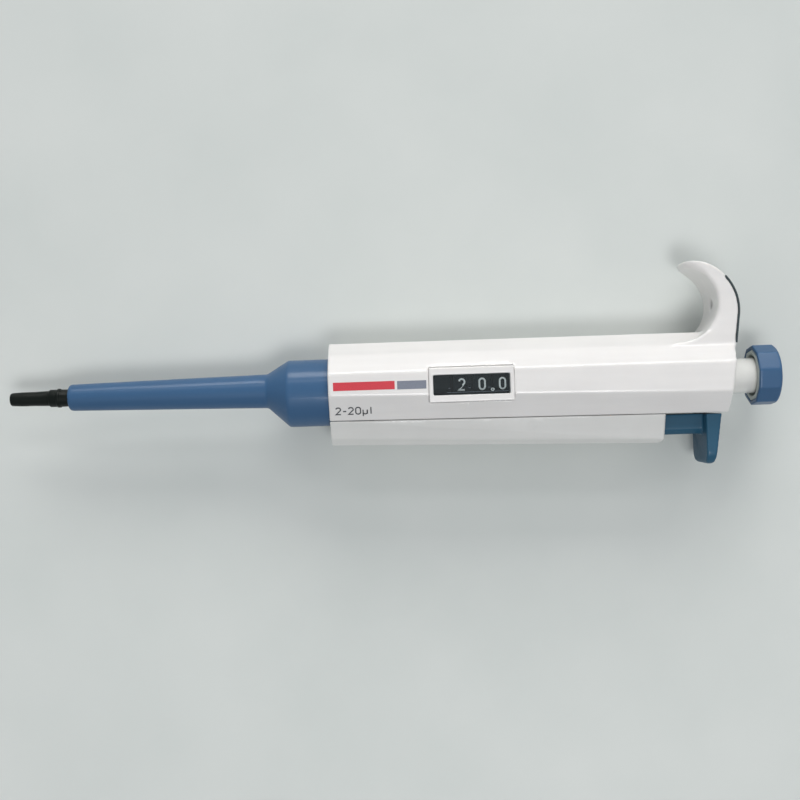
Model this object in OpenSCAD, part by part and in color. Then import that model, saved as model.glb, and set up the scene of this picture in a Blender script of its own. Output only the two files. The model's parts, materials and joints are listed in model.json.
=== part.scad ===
// Adjustable single-channel micropipette, 2 to 20 microlitre, lying on its back.
// Millimetres. Each sub-part is drawn upright along its own axis (nozzle end at height 0,
// window facing +X, finger hook towards -Y, tip ejector towards +Y), and lay_down() then
// puts the axis along +X with the window facing up and the hook towards +Y.

/* [Handle] */
// Height of the handle's lower end above the nozzle end
body_z0 = 99.2; // [99:0.1:99.6]
// Height of the handle's upper end above the nozzle end, where it is highest
body_z1 = 222.7; // [222.4:0.1:223]
// Half of the handle's thickness, from its front flat to its back flat
half_thick = 14; // [13.8:0.1:14.3]
// Wall of the handle and of the ejector cover
wall = 1.6; // [1.4:0.1:1.7]
// Height of the ejector cover's upper end above the nozzle end
cover_z1 = 201.1; // [200.5:0.1:201.5]

/* [Finger hook] */
// Width of the hook
hook_w = 18.4; // [18.2:0.1:19]
// Radius of the curve that the finger lies in
hook_inner_r = 11.55; // [11:0.05:11.8]
// Radius of the hook's back
hook_outer_r = 15.3; // [15.1:0.05:15.5]
// Thickness of the plate on the hook's back
plate_t = 0.5; // [0.4:0.05:0.8]

/* [Volume window] */
// Length of the window frame along the handle
frame_len = 25.5; // [25:0.1:26]
// Width of the window frame
frame_w = 10.4; // [9.8:0.1:11]
// Length of the clear opening
opening_len = 23; // [22:0.1:23.2]
// Width of the clear opening
opening_w = 6; // [5:0.1:6.4]
// Centre of the window above the nozzle end
window_z = 142.2; // [142:0.1:142.4]

/* [Counter] */
// Radius of the number wheels
wheel_r = 10; // [9.6:0.1:10]
// Spacing of the number wheels
wheel_pitch = 6.15; // [6.1:0.05:6.2]
// Teeth of each wheel's inner carry ring
ring_teeth = 34; // [34:1:34]
// Teeth of each carry pinion
pinion_teeth = 8; // [8:1:8]

/* [Plunger and knob] */
// Travel of the plunger from the top to the first stop at 20 microlitre
stroke = 5; // [4.8:0.1:5.2]
// Radius of the plunger stem
stem_r = 5.5; // [5.3:0.1:5.6]
// Radius of the knob over its ten corners
knob_r = 9.4; // [9:0.1:9.8]
// Height of the knob
knob_h = 7.5; // [7:0.1:8]
// Height of the knob's underside above the nozzle end
knob_z = 229.9; // [229.8:0.1:230.4]

/* [Piston and nozzle] */
// Radius of the piston: a 5 mm stroke moves 20 microlitre
piston_r = 1.128; // [1.1:0.001:1.15]
// Radius of the short cylinder that seals in a disposable tip
tip_seat_r = 2.2; // [2.1:0.05:2.3]
// Radius of the nozzle shaft above its step
shaft_r = 2.7; // [2.6:0.05:2.8]

/* [Tip ejector] */
// Outer radius of the ejector tube at its lower end
sleeve_r0 = 4.1; // [4:0.05:4.3]
// Outer radius of the ejector tube where its cone begins
sleeve_r1 = 5.25; // [5.1:0.05:5.4]
// Radius of the ejector's wide collar
collar_r = 10.35; // [10.2:0.05:10.4]
// How far the wide collar's centre lies to the ejector side of the pipette's axis
collar_off = 1.05; // [0.9:0.05:1.1]
// How far the thumb plate reaches out from the axis
thumb_reach = 26.7; // [25:0.1:28]
// Width of the thumb plate
thumb_w = 17; // [14:0.5:18]
// Distance of the ejector rod from the axis
rod_y = 13.4; // [13.3:0.1:13.5]

/* [Hidden] */
$fn = 64;

// Clearances: parts of one body that fit together, and running fits between moving parts
fit = 0.04;
run = 0.06;
slice_t = 0.02;

// The knob's top, the pipette's whole length and the shift that centres its box
pipette_len = knob_z + knob_h;
hook_cy = 20.25;
hook_cz = 209.15;
hook_foot_z = 223.3;
hook_top = hook_cy + hook_outer_r;
peg_y = -22.3;
peg_hole_r = 1.4;
side_shift = (thumb_reach - hook_top) / 2;

// Cross-section of the handle: [height of the face, distance towards the ejector side]
top_flat = [3, -13.8];
upper_crease = [half_thick - 5, -10];
front_crease_y = -4.3;
part_x = half_thick - 5;
cover_crease_x = half_thick - 8;
cover_floor_x = 3.2;
// How much lower the handle's upper end is: at the front crease, the lower crease and below
end_drops = [1.05, 2.2, 2.6];
// Thickness of the handle's end wall where it is thickest
end_wall = 5.2;

// Counter and drive, as heights above the nozzle end
wheel_z0 = 133.3;
wheel_t = 5.45;
sleeve_z0 = 124.5;
sleeve_z1 = 180.5;
thread_z0 = 163;
sleeve_r = 4;
thread_r = 4.6;
square_rod = 3.2;
square_hole = 3.36;
nut_z = 165;
nut_h = 8;
blowout_len = 12;
stop_collar_z = nut_z + nut_h + blowout_len + stroke;
stop_collar_h = 3.5;
collar_pin_r = 0.6;
pinion_dist = 6.55;
pinion_side = 225;
pinion_shaft_r = 0.7;
// Half a tooth of turn, so that the pinion's teeth stand in the ring's gaps
pinion_phase = 360 / pinion_teeth / 2;
ring_tooth_h = 1.5;
tooth_root = 0.36;
tooth_tip = 0.12;
carry_plate_t = 0.4;
bearing_plate_z = 155.9;
lower_plate_z = 126;
plate_h = 2.6;
flange_z = 112.8;
top_plate_z = 199;
flange_h = 3;
screw_r = 1;
screw_len = 2.6;
screw_head_r = 1.7;
screw_head_h = 1;
screw_x = 5.2;
screw_sunk = 1.1;
stem_z0 = 203;
stem_flange_h = 2.5;
bush_r = 7.4;
bush_z0 = stem_z0 + stem_flange_h + 0.2;
knob_recess = 4.5;

// Piston and nozzle, as heights above the nozzle end
neck_z0 = 97;
neck_r = 6.6;
neck_bore_r = 5.4;
cup_z0 = 86.8;
seal_h = 1.2;
piston_spring_z0 = 92;
piston_head_z = 112;
piston_head_h = 4;
piston_z0 = 48;
air_bore_z = 38;
cone_z0 = 79.8;
cone_z1 = 86.5;
sleeve_end_z = 18.2;
step_z = 12;

// Tip ejector, as heights above the nozzle end
lug_z = 110.2;
lug_h = 2.4;
// The lug is narrow enough to slide down inside the cover, which tapers
lug_half_w = 3;
lug_end_y = 15.3;
rod_r = 1.3;
guide_z = 156;
guide_h = 4;
arm_z0 = 188;
arm_half_w = 4.6;
arm_y0 = 11.3;
arm_floor_y = 17.5;
button_pin_r = 0.5;
thumb_z0 = 213.3;
thumb_root_h = 4.8;
thumb_end_h = 2.8;

// ---- shared geometry ----

function mix(a, b, t) = a + (b - a) * t;
function along(z) = (z - body_z0) / (cover_z1 - body_z0);
function lower_crease_y(z) = mix(2.3, 4.2, along(z));
function part_y(z) = mix(9.8, 10.8, along(z));
function cover_crease_y(z) = mix(15.5, 18.8, along(z));
function cover_floor_y(z) = mix(17.5, 20, along(z));
function wheel_z(i) = wheel_z0 + i * wheel_pitch;
function arc(cx, cy, r, a0, a1, n) =
    [for (i = [0:n]) [cx + r * cos(mix(a0, a1, i / n)), cy + r * sin(mix(a0, a1, i / n))]];

module lay_down() {
    translate([-pipette_len / 2, side_shift, half_thick])
        rotate([0, -90, 180])
            children();
}

module ring(r_out, r_in, z, h) {
    translate([0, 0, z])
        difference() {
            cylinder(r = r_out, h = h);
            translate([0, 0, -1]) cylinder(r = r_in, h = h + 2);
        }
}

// Points of one half of an outline, followed by their mirror images in reverse
function both_sides(half) =
    concat(half, [for (i = [len(half) - 1:-1:0]) [-half[i][0], half[i][1]]]);

// Unit normal of the edge from point i of an anticlockwise outline, pointing inwards
function inward(pts, i) =
    let (step = pts[(i + 1) % len(pts)] - pts[i % len(pts)])
    [-step[1], step[0]] / norm(step);

// An outline with every edge moved inwards by d
function shrunk(pts, d) =
    [for (i = [0:len(pts) - 1])
        let (a = inward(pts, i + len(pts) - 1), b = inward(pts, i))
        pts[i] + d * (a + b) / (1 + a * b)];

// Outline of the handle at height z
function housing_outline(z) =
    both_sides([top_flat, upper_crease, [half_thick, front_crease_y],
        [half_thick, lower_crease_y(z)], [part_x, part_y(z)]]);

// Outline of the ejector cover at height z: it closes the handle's ejector side
function cover_outline(z, inset = 0) =
    both_sides([[part_x - inset, part_y(z)],
        [cover_crease_x - inset, cover_crease_y(z) - inset * 0.4],
        [cover_floor_x - inset * 0.4, cover_floor_y(z) - inset]]);

// Solid between one outline at height z0 and another, with as many points, at height z1
module loft(low, z0, high, z1) {
    n = len(low);
    points = concat([for (p = low) [p[0], p[1], z0]], [for (p = high) [p[0], p[1], z1]]);
    sides = [for (i = [0:n - 1])
        for (half = [[i, n + i, n + (i + 1) % n], [i, n + (i + 1) % n, (i + 1) % n]]) half];
    polyhedron(points, concat([[for (i = [0:n - 1]) i]],
        [[for (i = [n - 1:-1:0]) n + i]], sides));
}

// ---- handle ----

// Side view of the finger hook: x is height above the nozzle end, y is distance from the axis
module hook_outline() {
    tip_z = 209;
    inner_centre = [206.5, 22.3];
    foot_angle = -70;
    foot_slope = 15;
    foot = inner_centre + (hook_inner_r - 0.5) * [cos(foot_angle), sin(foot_angle)];
    low_z = 190;
    low_y = foot[1] - (foot[0] - low_z) * tan(foot_slope);
    difference() {
        union() {
            translate([hook_cz, hook_cy]) circle(r = hook_outer_r, $fn = 96);
            polygon([[hook_cz + hook_outer_r - 0.6, hook_cy], [hook_foot_z, 10],
                [221.1, 4.5], [199, 4.5], [199, hook_cy]]);
        }
        translate(inner_centre) circle(r = hook_inner_r, $fn = 96);
        polygon([foot, [low_z, low_y], [low_z, 40], [tip_z, 40], [tip_z, inner_centre[1]]]);
    }
}

// The hook seen from above: a strip whose tip, at height tip_z, has two round corners. It
// widens to the whole handle below the finger's bend
module hook_tongue(tip_z) {
    corner = 6.5;
    half = hook_w / 2;
    translate([0, -17, 0])
        rotate([90, 0, 0])
            linear_extrude(30) {
                translate([-half, tip_z + corner]) square([hook_w, 40]);
                translate([-half + corner, tip_z]) square([hook_w - 2 * corner, 40]);
                for (side = [-1, 1])
                    translate([side * (half - corner), tip_z + corner]) circle(r = corner);
            }
    translate([-half_thick, -18, 180]) cube([2 * half_thick, 30, 60]);
}

module hook_band() {
    rotate([0, -90, 0])
        linear_extrude(hook_w, center = true)
            mirror([0, 1])
                children();
}

// Curved strip that lies on the hook's back, from its shoulder down to the handle
module hook_strip_outline(r_out, r_in) {
    foot_out = hook_foot_z - (hook_outer_r - r_out);
    foot_in = hook_foot_z - (hook_outer_r - r_in);
    polygon(concat(arc(hook_cz, hook_cy, r_out, 42, -10, 26), [[foot_out, 10]],
        [[foot_in, 10]], arc(hook_cz, hook_cy, r_in, -10, 42, 26)));
}

// Space above the handle's upper end, which falls away from the hook side
module above_sloping_end() {
    low_z = body_z1 - end_drops[2];
    rotate([0, -90, 0])
        linear_extrude(3 * half_thick, center = true)
            polygon([[body_z1, upper_crease[1]], [body_z1 - end_drops[0], front_crease_y],
                [body_z1 - end_drops[1], 4.2], [low_z, 10.8], [low_z, 30],
                [body_z1 + 5, 30], [body_z1 + 5, upper_crease[1]]]);
}

module handle_housing() {
    cavity_z0 = body_z0 + wall;
    cavity_z1 = body_z1 - end_wall;
    slot_half = 7.2;
    collar_slot_half = 8;
    color("whitesmoke")
        lay_down()
            difference() {
                union() {
                    difference() {
                        loft(housing_outline(body_z0), body_z0, housing_outline(body_z1), body_z1);
                        above_sloping_end();
                    }
                    intersection() {
                        hook_band() hook_outline();
                        hook_tongue(209);
                    }
                }
                loft(shrunk(housing_outline(cavity_z0), wall), cavity_z0,
                    shrunk(housing_outline(cavity_z1), wall), cavity_z1);
                translate([-collar_slot_half, 5, body_z0 - 1])
                    cube([2 * collar_slot_half, 10, flange_z + 0.1 - body_z0 + 1]);
                translate([-slot_half, 5, flange_z + flange_h + 0.6])
                    cube([2 * slot_half, 10, top_plate_z - 1 - flange_z - flange_h - 0.6]);
                translate([0, collar_off, body_z0 - 1]) cylinder(r = collar_r + 0.3, h = 4);
                cylinder_at(bush_r + fit, cavity_z1 - 1, body_z1 - cavity_z1 + 2);
                translate([half_thick - 6, -frame_w / 2 - fit, window_z - frame_len / 2 - fit])
                    cube([10, frame_w + 2 * fit, frame_len + 2 * fit]);
                hook_band() hook_strip_outline(hook_outer_r + 1, hook_outer_r - plate_t - fit);
                translate([0, peg_y, 214]) cylinder(r = peg_hole_r, h = 12);
                frame_screw_places() screw_hole();
            }
}

module hook_plate() {
    color("darkslategray")
        lay_down() {
            hook_band() hook_strip_outline(hook_outer_r, hook_outer_r - plate_t);
            translate([0, peg_y, 219.6]) cylinder(r = peg_hole_r - 0.15, h = 4.4);
        }
}

module ejector_cover() {
    gap = 0.12;
    floor_round = 1.7;
    tab_x = 5.8;
    color("gainsboro")
        lay_down()
            difference() {
                union() {
                    intersection() {
                        loft(cover_outline(body_z0), body_z0, cover_outline(cover_z1), cover_z1);
                        cover_side_limit(gap, floor_round);
                    }
                    for (side = [-1, 1])
                        for (z = [120, 172])
                            translate([side * (tab_x + 0.6) - 0.6, part_y(z) - 2, z])
                                cube([1.2, 3.4, 8]);
                }
                difference() {
                    loft(cover_outline(body_z0 + wall, wall), body_z0 + wall,
                        cover_outline(cover_z1 + 1, wall), cover_z1 + 1);
                    for (side = [-1, 1])
                        for (z = [120, 172])
                            translate([side * (tab_x + 0.8) - 1, part_y(z) - 2, z])
                                cube([2, 3.4, 8]);
                }
                translate([0, collar_off, body_z0 - 1]) cylinder(r = collar_r + 0.3, h = 4);
            }
}

// Side view of the space that the cover may fill: below the parting line, with one round corner
module cover_side_limit(gap, r) {
    rotate([0, -90, 0])
        linear_extrude(40, center = true)
            difference() {
                polygon([[body_z0 - 1, part_y(body_z0 - 1) + gap],
                    [cover_z1, part_y(cover_z1) + gap], [cover_z1, 21], [body_z0 - 1, 21]]);
                translate([cover_z1 - r, cover_floor_y(cover_z1) - r])
                    difference() {
                        square(r + 2);
                        circle(r = r, $fn = 48);
                    }
            }
}

module window_frame() {
    depth = 4.1;
    lens_seat = 1.2;
    rise = 0.35;
    color("white")
        lay_down()
            translate([half_thick + rise - depth, 0, window_z])
                difference() {
                    translate([0, -frame_w / 2, -frame_len / 2])
                        cube([depth, frame_w, frame_len]);
                    translate([-1, -opening_w / 2, -opening_len / 2])
                        cube([depth + 2, opening_w, opening_len]);
                    translate([depth - rise - lens_seat, -opening_w / 2 - 0.5, -opening_len / 2 - 0.5])
                        cube([lens_seat, opening_w + 1, opening_len + 1]);
                }
}

module window_lens() {
    color("lightblue", 0.4)
        lay_down()
            translate([half_thick - 1.2 + fit, -opening_w / 2 - 0.45, window_z - opening_len / 2 - 0.45])
                cube([1.1, opening_w + 0.9, opening_len + 0.9]);
}

// ---- counter ----

// Rails: one behind the wheels and one on the hook side, clear of the window
module frame_rails(z, h) {
    translate([-12, -3, z]) cube([1.6, 5, h]);
    translate([-2.8, -11.8, z]) cube([5.6, 1.4, h]);
}

module cavity_plate(z) {
    translate([0, 0, z])
        linear_extrude(flange_h)
            polygon(shrunk(housing_outline(z), wall + 0.15));
}

module counter_frame() {
    color("silver")
        lay_down()
            difference() {
                union() {
                    cylinder_at(neck_r, neck_z0, lower_plate_z + 0.5 - neck_z0);
                    cavity_plate(flange_z);
                    cavity_plate(top_plate_z);
                    cylinder_at(9.8, lower_plate_z, plate_h);
                    cylinder_at(9.8, bearing_plate_z, plate_h);
                    for (z = [lower_plate_z, bearing_plate_z]) {
                        translate([-12, -3, z]) cube([6, 5, plate_h]);
                        translate([-2.8, -11.8, z]) cube([5.6, 6, plate_h]);
                    }
                    frame_rails(flange_z, top_plate_z + flange_h - flange_z);
                }
                cylinder_at(neck_bore_r, neck_z0 - 1, 124 - neck_z0);
                cylinder_at(4.9, 120, 9);
                cylinder_at(6 + fit, bearing_plate_z - 1, plate_h + 2);
                cylinder_at(7.7, top_plate_z - 1, flange_h + 2);
                frame_screw_places() screw_hole();
            }
}

module cylinder_at(r, z, h) {
    translate([0, 0, z]) cylinder(r = r, h = h);
}

// The four screws that hold the counter frame go in under the ejector cover
module frame_screw_places() {
    for (side = [-1, 1])
        for (z = [flange_z, top_plate_z])
            translate([side * screw_x, part_y(z) - screw_sunk, z + flange_h / 2])
                rotate([90, 0, 0])
                    children();
}

// Hole for one screw, with a counterbore for its head
module screw_hole() {
    cylinder(r = screw_r + fit, h = screw_len + 0.3);
    translate([0, 0, -5]) cylinder(r = screw_head_r + fit, h = 5);
}

module frame_screws() {
    color("lightgray")
        lay_down()
            frame_screw_places()
                difference() {
                    union() {
                        cylinder(r = screw_r, h = screw_len);
                        translate([0, 0, -screw_head_h]) cylinder(r = screw_head_r, h = screw_head_h);
                    }
                    for (turn = [0, 90])
                        rotate([0, 0, turn])
                            translate([-1, -0.2, -screw_head_h - 0.5]) cube([2, 0.4, 1]);
                }
}

module stem_bush() {
    color("white")
        lay_down() {
            ring(bush_r, stem_r + run, bush_z0, body_z1 - end_drops[2] - bush_z0);
        }
}

module upper_bearing() {
    color("goldenrod")
        lay_down() {
            ring(6, sleeve_r + run, bearing_plate_z, plate_h);
        }
}

module lower_bearing() {
    color("goldenrod")
        lay_down() {
            ring(4.9 - fit, 3.5 + run, 124.2, 4.4);
        }
}

// One number wheel: web and rim, with either the carry ring's teeth inside the rim or a hub
module number_wheel(i, bore_r, toothed) {
    rim_in = 9;
    web_t = 1.3;
    recess = wheel_t - web_t;
    lay_down()
        translate([0, 0, wheel_z(i) - wheel_t / 2])
            difference() {
                cylinder(r = wheel_r, h = wheel_t);
                translate([0, 0, -1]) cylinder(r = bore_r, h = wheel_t + 2);
                translate([0, 0, web_t])
                    difference() {
                        cylinder(r = rim_in, h = recess + 1);
                        if (toothed)
                            for (k = [0:ring_teeth - 1])
                                rotate([0, 0, k * 360 / ring_teeth])
                                    translate([0, 0, -1]) ring_tooth(rim_in, ring_tooth_h + 1);
                        else
                            translate([0, 0, -1]) cylinder(r = bore_r + 0.6, h = recess + 1);
                    }
            }
}

// Tooth of the inner carry ring, pointing at the axis
module ring_tooth(rim_in, h) {
    linear_extrude(h)
        polygon([[rim_in + 0.2, -tooth_root], [rim_in + 0.2, tooth_root],
            [rim_in - 0.7, tooth_tip], [rim_in - 0.7, -tooth_tip]]);
}

module blank_wheel() {
    color("dimgray") number_wheel(0, sleeve_r + 0.3, false);
}

module tens_wheel() {
    color("black") number_wheel(1, sleeve_r + run, true);
}

module units_wheel() {
    color("black") number_wheel(2, sleeve_r + run, true);
}

module tenths_wheel() {
    color("black") number_wheel(3, sleeve_r + fit, false);
}

// Thin fixed plates between the wheels; each carries the stub shaft of one carry pinion
module carry_plates() {
    color("black")
        lay_down()
            for (i = [1, 2]) {
                z = wheel_z(i) + wheel_pitch / 2 - carry_plate_t / 2;
                difference() {
                    union() {
                        cylinder_at(9.6, z, carry_plate_t);
                        translate([-10.36, -2, z]) cube([3, 3, carry_plate_t]);
                        rotate([0, 0, pinion_side])
                            translate([pinion_dist, 0, z - 3]) cylinder(r = pinion_shaft_r, h = 3.1);
                    }
                    cylinder_at(sleeve_r + 0.9, z - 1, 3);
                }
            }
}

// Carry pinion: it meshes with the inner ring of wheel i
module carry_pinion(i) {
    pinion_h = 1.4;
    color("gold")
        lay_down()
            rotate([0, 0, pinion_side])
                translate([pinion_dist, 0, wheel_z(i) - wheel_t / 2 + 1.5])
                    difference() {
                        union() {
                            cylinder(r = 1.35, h = pinion_h);
                            for (k = [0:pinion_teeth - 1])
                                rotate([0, 0, k * 360 / pinion_teeth + pinion_phase])
                                    linear_extrude(pinion_h)
                                        polygon([[1, -tooth_root], [1, tooth_root],
                                            [2.15, tooth_tip], [2.15, -tooth_tip]]);
                        }
                        translate([0, 0, -1]) cylinder(r = pinion_shaft_r + run, h = 4);
                    }
}

module tens_pinion() {
    carry_pinion(1);
}

module units_pinion() {
    carry_pinion(2);
}

module square_bore(z, h) {
    translate([-square_hole / 2, -square_hole / 2, z])
        cube([square_hole, square_hole, h]);
}

module drive_sleeve() {
    color("goldenrod")
        lay_down()
            difference() {
                union() {
                    cylinder_at(3.5, sleeve_z0, 5);
                    cylinder_at(sleeve_r, 128.9, thread_z0 - 128.9);
                    cylinder_at(thread_r, thread_z0, sleeve_z1 - thread_z0);
                }
                square_bore(sleeve_z0 - 1, sleeve_z1 - sleeve_z0 + 2);
                ring(5, 3.7, 159.2, 0.9);
            }
}

module drive_clip() {
    color("silver")
        lay_down() {
            ring(5.6, 3.72, 159.25, 0.8);
        }
}

// Nut that sets the first stop; two ears beside the back rail keep it from turning
module stop_nut() {
    nut_r = 7.6;
    ear = [5.5, 1.2, nut_h];
    color("peru")
        lay_down()
            difference() {
                union() {
                    cylinder_at(nut_r, nut_z, nut_h);
                    translate([-11.3, -4.4, nut_z]) cube(ear);
                    translate([-11.3, 2.2, nut_z]) cube(ear);
                }
                cylinder_at(thread_r + run, nut_z - 1, nut_h + 2);
            }
}

module blowout_spring() {
    color("lightsteelblue")
        lay_down() {
            ring(6.5, 5.7, nut_z + nut_h, blowout_len);
        }
}

// ---- plunger ----

module decagon(r, z, h) {
    translate([0, 0, z])
        rotate([0, 0, -9.5])
            cylinder(r = r, h = h, $fn = 10);
}

module knob_cap() {
    top_z = knob_z + knob_h;
    color("steelblue")
        lay_down()
            difference() {
                intersection() {
                    decagon(knob_r, knob_z, knob_h);
                    rotate_extrude()
                        polygon([[0, knob_z], [knob_r + 1, knob_z], [knob_r + 1, top_z - 2],
                            [knob_r - 0.8, top_z - 0.5], [3, top_z], [0, top_z]]);
                }
                decagon(7.9 + fit, knob_z - 1, knob_recess + 1);
                cylinder_at(3.4 + fit, knob_z, knob_recess + 1);
            }
}

module knob_ring() {
    color("lightgray")
        lay_down()
            difference() {
                decagon(7.9, knob_z, knob_recess);
                cylinder_at(6.4, knob_z - 1, knob_recess - 0.5);
                cylinder_at(stem_r + fit, knob_z, knob_recess + 1);
            }
}

module plunger_stem() {
    color("white")
        lay_down()
            difference() {
                union() {
                    cylinder_at(stem_r, stem_z0, knob_z + knob_recess - stem_z0);
                    cylinder_at(7.1, stem_z0, stem_flange_h);
                    cylinder_at(3.4, knob_z, knob_recess + 0.95);
                }
                translate([-square_rod / 2 - fit, -square_rod / 2 - fit, stem_z0 - 1])
                    cube([square_rod + 2 * fit, square_rod + 2 * fit, 9]);
            }
}

module push_rod() {
    rod_z0 = 118;
    head_top_z = piston_head_z + piston_head_h;
    color("silver")
        lay_down()
            difference() {
                union() {
                    translate([-square_rod / 2, -square_rod / 2, rod_z0])
                        cube([square_rod, square_rod, stem_z0 + 8 - rod_z0]);
                    cylinder_at(1.5, head_top_z, rod_z0 - head_top_z);
                }
                collar_pin_place() cylinder(r = collar_pin_r + fit / 2, h = 20, center = true);
            }
}

module collar_pin_place() {
    translate([0, 0, stop_collar_z + stop_collar_h / 2])
        rotate([0, 90, 0])
            children();
}

module stop_collar() {
    color("silver")
        lay_down()
            difference() {
                cylinder_at(7, stop_collar_z, stop_collar_h);
                translate([-square_rod / 2 - fit, -square_rod / 2 - fit, stop_collar_z - 1])
                    cube([square_rod + 2 * fit, square_rod + 2 * fit, stop_collar_h + 2]);
                collar_pin_place() cylinder(r = collar_pin_r + fit / 2, h = 20, center = true);
            }
}

module collar_pin() {
    color("gray")
        lay_down()
            collar_pin_place() cylinder(r = collar_pin_r, h = 13, center = true);
}

// ---- nozzle and piston ----

module nozzle_shaft() {
    upper_r = 4;
    color("black")
        lay_down()
            difference() {
                union() {
                    rotate_extrude()
                        polygon([[0, 0], [1.85, 0], [2.02, 0.35], [tip_seat_r, 3.5], [tip_seat_r, 7.5],
                            [2.36, step_z], [shaft_r, step_z + 0.2], [shaft_r, 14.4], [2.95, 14.6],
                            [2.95, 15.4], [shaft_r, 15.6], [shaft_r, 22], [upper_r, 78], [upper_r, 82],
                            [neck_r, 86], [neck_r, neck_z0], [0, neck_z0]]);
                    cylinder_at(tip_seat_r, 3.5, 4);
                }
                cylinder_at(0.55, -1, air_bore_z + 2);
                cylinder_at(1.45, air_bore_z, cup_z0 - air_bore_z + 1);
                cylinder_at(neck_bore_r, cup_z0, neck_z0 - cup_z0 + 1);
            }
}

module coupling_nut() {
    color("dimgray")
        lay_down()
            difference() {
                cylinder_at(7.7, 90, 14);
                cylinder_at(neck_r + fit, 89, 16);
                for (k = [0:11])
                    rotate([0, 0, k * 30])
                        translate([7.7, 0, 92]) cylinder(r = 0.35, h = 13, $fn = 16);
            }
}

module piston_seal() {
    color("white")
        lay_down() {
            ring(neck_bore_r - fit, piston_r + run, cup_z0, seal_h);
        }
}

module seal_ring() {
    cord_r = 0.8;
    color("black")
        lay_down()
            translate([0, 0, cup_z0 + seal_h + cord_r])
                rotate_extrude()
                    translate([piston_r + run + cord_r, 0])
                        circle(r = cord_r, $fn = 32);
}

module spring_seat() {
    pocket_r = 2.85;
    pocket_depth = 1.7;
    seat_z = cup_z0 + seal_h;
    color("silver")
        lay_down()
            difference() {
                cylinder_at(neck_bore_r - fit, seat_z, piston_spring_z0 - seat_z);
                cylinder_at(pocket_r, seat_z - 1, pocket_depth + 1);
                cylinder_at(piston_r + 0.2, seat_z, 6);
            }
}

module piston_spring() {
    color("lightsteelblue")
        lay_down() {
            ring(4.9, 3.6, piston_spring_z0, piston_head_z - piston_spring_z0);
        }
}

module piston_head() {
    color("white")
        lay_down()
            difference() {
                union() {
                    cylinder_at(5.1, piston_head_z, piston_head_h);
                    cylinder_at(3, piston_head_z - 3, 3.5);
                }
                cylinder_at(piston_r + fit, piston_head_z - 4, 6);
            }
}

module piston_rod() {
    color("silver")
        lay_down() {
            cylinder_at(piston_r, piston_z0, piston_head_z + 2 - piston_z0);
        }
}

// ---- tip ejector ----

module ejector_sleeve() {
    tube_t = 0.8;
    cone_t = 1.2;
    top_z = 111.2;
    color("steelblue")
        lay_down()
            difference() {
                union() {
                    rotate_extrude()
                        polygon([[0, sleeve_end_z], [sleeve_r0 - 0.5, sleeve_end_z],
                            [sleeve_r0, sleeve_end_z + 0.5], [sleeve_r1, cone_z0], [0, cone_z0]]);
                    hull() {
                        cylinder_at(sleeve_r1, cone_z0 - slice_t, slice_t);
                        translate([0, collar_off, cone_z1]) cylinder(r = collar_r, h = slice_t);
                    }
                    translate([0, collar_off, cone_z1]) cylinder(r = collar_r, h = top_z - cone_z1);
                    translate([-lug_half_w, 7, lug_z])
                        cube([2 * lug_half_w, lug_end_y - 7, lug_h]);
                }
                rotate_extrude()
                    polygon([[0, sleeve_end_z - 1], [sleeve_r0 - tube_t, sleeve_end_z - 1],
                        [sleeve_r1 - tube_t, cone_z0 + 0.4], [0, cone_z0 + 0.4]]);
                hull() {
                    cylinder_at(sleeve_r1 - tube_t, cone_z0 + 0.3, slice_t);
                    translate([0, collar_off, cone_z1 + 0.3])
                        cylinder(r = collar_r - cone_t, h = slice_t);
                }
                translate([0, collar_off, cone_z1 + 0.3])
                    cylinder(r = collar_r - cone_t, h = lug_z + lug_h - cone_z1 + 1);
                translate([0, rod_y, lug_z - 1]) cylinder(r = rod_r + fit, h = lug_h + 2);
            }
}

module ejector_rod() {
    rod_z1 = 200;
    color("silver")
        lay_down()
            difference() {
                translate([0, rod_y, lug_z]) cylinder(r = rod_r, h = rod_z1 - lug_z);
                button_pin_place() cylinder(r = button_pin_r + fit / 2, h = 20, center = true);
            }
}

// Side view of the arm and the tapering thumb plate, whose two outer edges are round: x is
// height, y distance from the axis
module button_side_outline() {
    edge_r = 1.1;
    edge_y = thumb_reach - edge_r;
    polygon(concat([[arm_z0, arm_y0], [thumb_z0 + thumb_root_h, arm_y0]],
        arc(thumb_z0 + thumb_end_h - edge_r, edge_y, edge_r, 8, 90, 6),
        arc(thumb_z0 + edge_r, edge_y, edge_r, 90, 180, 6),
        [[thumb_z0, arm_floor_y], [arm_z0, arm_floor_y]]));
}

// Outline of the thumb plate, looking along the pipette, with its two rounded outer corners
module thumb_plan() {
    corner = 4;
    half = thumb_w / 2;
    translate([-half, arm_y0]) square([thumb_w, thumb_reach - corner - arm_y0]);
    translate([-half + corner, arm_y0]) square([thumb_w - 2 * corner, thumb_reach - arm_y0]);
    for (side = [-1, 1])
        translate([side * (half - corner), thumb_reach - corner]) circle(r = corner);
}

// Section of the narrower arm below it, with its two chamfered edges
module arm_section() {
    chamfer_y = arm_floor_y - 1.5;
    floor_half = 3;
    polygon([[-arm_half_w, arm_y0], [arm_half_w, arm_y0], [arm_half_w, chamfer_y],
        [floor_half, arm_floor_y], [-floor_half, arm_floor_y], [-arm_half_w, chamfer_y]]);
}

module ejector_button() {
    color("steelblue")
        lay_down()
            difference() {
                intersection() {
                    rotate([0, -90, 0])
                        linear_extrude(thumb_w + 2, center = true)
                            button_side_outline();
                    union() {
                        translate([0, 0, thumb_z0]) linear_extrude(10) thumb_plan();
                        translate([0, 0, arm_z0])
                            linear_extrude(thumb_z0 - arm_z0 + 1)
                                arm_section();
                    }
                }
                translate([0, rod_y, arm_z0 - 1]) cylinder(r = rod_r + fit, h = 14);
                button_pin_place() cylinder(r = button_pin_r + fit / 2, h = 20, center = true);
            }
}

module button_pin_place() {
    translate([0, rod_y, arm_z0 + 5])
        rotate([0, 90, 0])
            children();
}

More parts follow.
